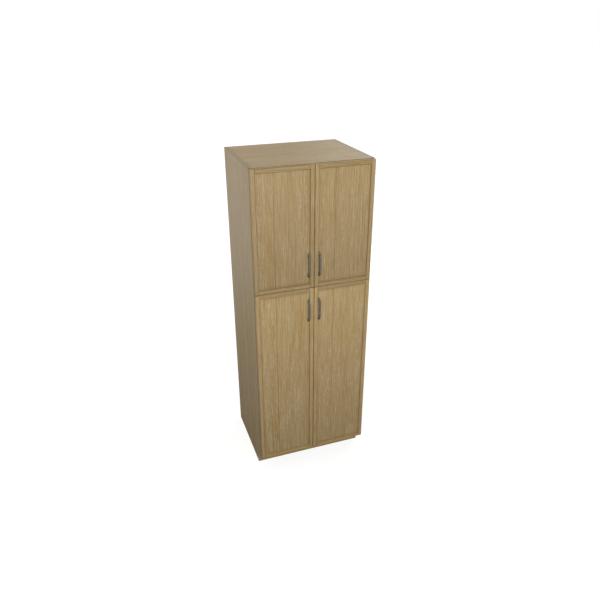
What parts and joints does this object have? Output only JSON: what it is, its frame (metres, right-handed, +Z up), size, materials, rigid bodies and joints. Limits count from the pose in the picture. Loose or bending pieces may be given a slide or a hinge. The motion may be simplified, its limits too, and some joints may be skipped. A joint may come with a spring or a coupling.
{
  "type": "utility cabinet",
  "caption": "Tall oak utility cabinet with a short upper and a tall lower pair of framed doors on concealed cup hinges, bow pulls, shelves and a recessed toe board.",
  "frame": {"origin": "on the floor, under the middle of the cabinet's overall box (pulls included)", "axes": "+Z up, the doors face -Y, +X to the right as seen from the front"},
  "size_m": [0.762, 0.6526, 2.1336],
  "materials": {
    "oak_side": "clear satin lacquer, upright grain",
    "oak_top": "clear satin lacquer, grain across the width",
    "oak_inside": "clear satin lacquer, grain across the width",
    "oak_back": "clear satin lacquer",
    "oak_toe": "clear satin lacquer, grain across the width",
    "oak_stile": "clear satin lacquer, upright grain",
    "oak_rail": "clear satin lacquer, grain across the width",
    "oak_panel": "clear satin lacquer, upright grain in veneer leaves",
    "pewter": "dark satin pewter",
    "nickel": "nickel plate",
    "zinc": "zinc plate",
    "bumper_rubber": "soft grey rubber"
  },
  "bodies": {
    "cabinet": {"left_side_panel": "oak_side", "right_side_panel": "oak_side", "top_panel": "oak_top", "bottom_panel": "oak_inside", "fixed_shelf": "oak_inside", "back_panel": "oak_back", "toe_kick": "oak_toe", "nailers": "oak_back", "upper_shelf_1": "oak_inside", "upper_shelf_2": "oak_inside", "lower_shelf_1": "oak_inside", "lower_shelf_2": "oak_inside", "shelf_pins": "nickel", "hinge_arms": "nickel", "mounting_plates": "nickel", "plate_screws": "zinc"},
    "upper_left_door": {"upper_left_hinge_stile": "oak_stile", "upper_left_pull_stile": "oak_stile", "upper_left_top_rail": "oak_rail", "upper_left_bottom_rail": "oak_rail", "upper_left_panel": "oak_panel", "upper_left_pull": "pewter", "upper_left_screws": "zinc", "upper_left_bumpers": "bumper_rubber", "upper_left_hinge_cups": "nickel"},
    "upper_left_inner_links": {"upper_left_inner_links": "nickel"},
    "upper_left_outer_links": {"upper_left_outer_links": "nickel"},
    "upper_right_door": {"upper_right_hinge_stile": "oak_stile", "upper_right_pull_stile": "oak_stile", "upper_right_top_rail": "oak_rail", "upper_right_bottom_rail": "oak_rail", "upper_right_panel": "oak_panel", "upper_right_pull": "pewter", "upper_right_screws": "zinc", "upper_right_bumpers": "bumper_rubber", "upper_right_hinge_cups": "nickel"},
    "upper_right_inner_links": {"upper_right_inner_links": "nickel"},
    "upper_right_outer_links": {"upper_right_outer_links": "nickel"},
    "lower_left_door": {"lower_left_hinge_stile": "oak_stile", "lower_left_pull_stile": "oak_stile", "lower_left_top_rail": "oak_rail", "lower_left_bottom_rail": "oak_rail", "lower_left_panel": "oak_panel", "lower_left_pull": "pewter", "lower_left_screws": "zinc", "lower_left_bumpers": "bumper_rubber", "lower_left_hinge_cups": "nickel"},
    "lower_left_inner_links": {"lower_left_inner_links": "nickel"},
    "lower_left_outer_links": {"lower_left_outer_links": "nickel"},
    "lower_right_door": {"lower_right_hinge_stile": "oak_stile", "lower_right_pull_stile": "oak_stile", "lower_right_top_rail": "oak_rail", "lower_right_bottom_rail": "oak_rail", "lower_right_panel": "oak_panel", "lower_right_pull": "pewter", "lower_right_screws": "zinc", "lower_right_bumpers": "bumper_rubber", "lower_right_hinge_cups": "nickel"},
    "lower_right_inner_links": {"lower_right_inner_links": "nickel"},
    "lower_right_outer_links": {"lower_right_outer_links": "nickel"}
  },
  "joints": [
    {"name": "upper_left_inner_link_pivot", "type": "hinge", "parent": "cabinet", "child": "upper_left_inner_links", "pos_m": [-0.3497, -0.2819, 1.74905], "axis": [0, 0, -1], "range_deg": [-53.3, 0]},
    {"name": "upper_left_door_pivot", "type": "hinge", "parent": "upper_left_inner_links", "child": "upper_left_door", "pos_m": [-0.3665, -0.2897, 1.74905], "axis": [0, 0, -1], "range_deg": [0, 148.2]},
    {"name": "upper_left_outer_link_pivot", "type": "hinge", "parent": "cabinet", "child": "upper_left_outer_links", "pos_m": [-0.3365, -0.2629, 1.74905], "axis": [0, 0, -1], "range_deg": [-32.21, 0]},
    {"name": "upper_right_inner_link_pivot", "type": "hinge", "parent": "cabinet", "child": "upper_right_inner_links", "pos_m": [0.3497, -0.2819, 1.74905], "axis": [0, 0, 1], "range_deg": [-53.3, 0]},
    {"name": "upper_right_door_pivot", "type": "hinge", "parent": "upper_right_inner_links", "child": "upper_right_door", "pos_m": [0.3665, -0.2897, 1.74905], "axis": [0, 0, 1], "range_deg": [0, 148.2]},
    {"name": "upper_right_outer_link_pivot", "type": "hinge", "parent": "cabinet", "child": "upper_right_outer_links", "pos_m": [0.3365, -0.2629, 1.74905], "axis": [0, 0, 1], "range_deg": [-32.21, 0]},
    {"name": "lower_left_inner_link_pivot", "type": "hinge", "parent": "cabinet", "child": "lower_left_inner_links", "pos_m": [-0.3497, -0.2819, 0.73305], "axis": [0, 0, -1], "range_deg": [-53.3, 0]},
    {"name": "lower_left_door_pivot", "type": "hinge", "parent": "lower_left_inner_links", "child": "lower_left_door", "pos_m": [-0.3665, -0.2897, 0.73305], "axis": [0, 0, -1], "range_deg": [0, 148.2]},
    {"name": "lower_left_outer_link_pivot", "type": "hinge", "parent": "cabinet", "child": "lower_left_outer_links", "pos_m": [-0.3365, -0.2629, 0.73305], "axis": [0, 0, -1], "range_deg": [-32.21, 0]},
    {"name": "lower_right_inner_link_pivot", "type": "hinge", "parent": "cabinet", "child": "lower_right_inner_links", "pos_m": [0.3497, -0.2819, 0.73305], "axis": [0, 0, 1], "range_deg": [-53.3, 0]},
    {"name": "lower_right_door_pivot", "type": "hinge", "parent": "lower_right_inner_links", "child": "lower_right_door", "pos_m": [0.3665, -0.2897, 0.73305], "axis": [0, 0, 1], "range_deg": [0, 148.2]},
    {"name": "lower_right_outer_link_pivot", "type": "hinge", "parent": "cabinet", "child": "lower_right_outer_links", "pos_m": [0.3365, -0.2629, 0.73305], "axis": [0, 0, 1], "range_deg": [-32.21, 0]}
  ],
  "couplings": [
    {"joint": "upper_left_inner_link_pivot", "follows": "upper_left_door_pivot", "ratio": -0.35897},
    {"joint": "upper_left_outer_link_pivot", "follows": "upper_left_door_pivot", "ratio": -0.21667},
    {"joint": "upper_right_inner_link_pivot", "follows": "upper_right_door_pivot", "ratio": -0.35897},
    {"joint": "upper_right_outer_link_pivot", "follows": "upper_right_door_pivot", "ratio": -0.21667},
    {"joint": "lower_left_inner_link_pivot", "follows": "lower_left_door_pivot", "ratio": -0.35897},
    {"joint": "lower_left_outer_link_pivot", "follows": "lower_left_door_pivot", "ratio": -0.21667},
    {"joint": "lower_right_inner_link_pivot", "follows": "lower_right_door_pivot", "ratio": -0.35897},
    {"joint": "lower_right_outer_link_pivot", "follows": "lower_right_door_pivot", "ratio": -0.21667}
  ]
}
